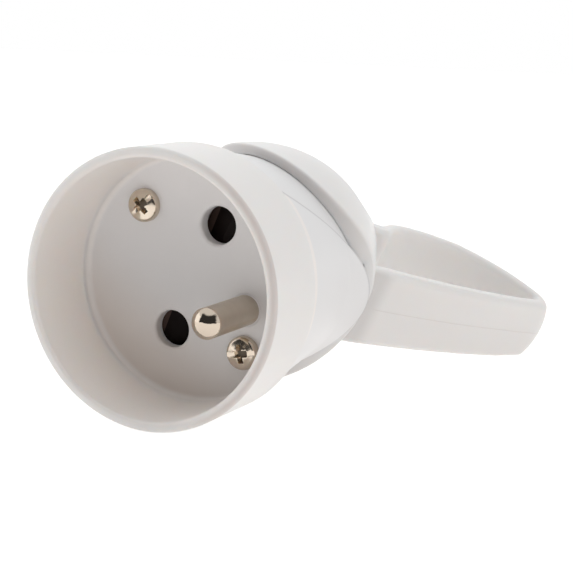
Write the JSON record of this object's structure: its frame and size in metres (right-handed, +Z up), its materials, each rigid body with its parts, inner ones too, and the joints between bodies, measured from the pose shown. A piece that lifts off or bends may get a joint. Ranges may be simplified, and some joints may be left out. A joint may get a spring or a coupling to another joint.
{
  "type": "trailing mains socket",
  "caption": "Trailing mains socket: a round recessed well with shuttered contact holes and an earth pin, a scalloped tapering rear cover, a cord entry and a flat pull ring.",
  "frame": {"origin": "centre of the socket face at the bottom of the well", "axes": "+Y along the plug axis from the mouth to the cord end, +Z up as the socket lies on a table on its cup and the bow of its ring, +X towards the ring"},
  "size_m": [0.0601, 0.0909, 0.0431],
  "materials": {
    "white_shell": "satin moulded",
    "insulator": "moulded",
    "dark_insulator": "moulded",
    "brass": "stamped",
    "nickel": "nickel plated",
    "steel": "zinc plated"
  },
  "bodies": {
    "housing": {"socket_cup": "white_shell", "front_housing": "white_shell", "rear_cover": "white_shell", "contact_carrier": "insulator", "retainer_plate": "insulator", "cord_clamp": "insulator", "line_contact": "brass", "neutral_contact": "brass", "earth_pin": "nickel", "housing_screw_lower": "nickel", "housing_screw_upper": "nickel", "line_contact_clip": "steel", "neutral_contact_clip": "steel", "earth_clip": "steel", "shutter_spring": "steel", "retainer_screw": "steel", "line_terminal_screw": "steel", "neutral_terminal_screw": "steel", "earth_terminal_screw": "steel", "cord_clamp_screw_left": "steel", "cord_clamp_screw_right": "steel"},
    "shutter": {"shutter": "dark_insulator"}
  },
  "joints": [
    {"name": "shutter_turn", "type": "hinge", "parent": "housing", "child": "shutter", "pos_m": [0, 0.0035, 0], "axis": [0, 1, 0], "range_deg": [0, 40], "stiffness_Nm_per_rad": 0.002, "springref_deg": -17.19}
  ]
}
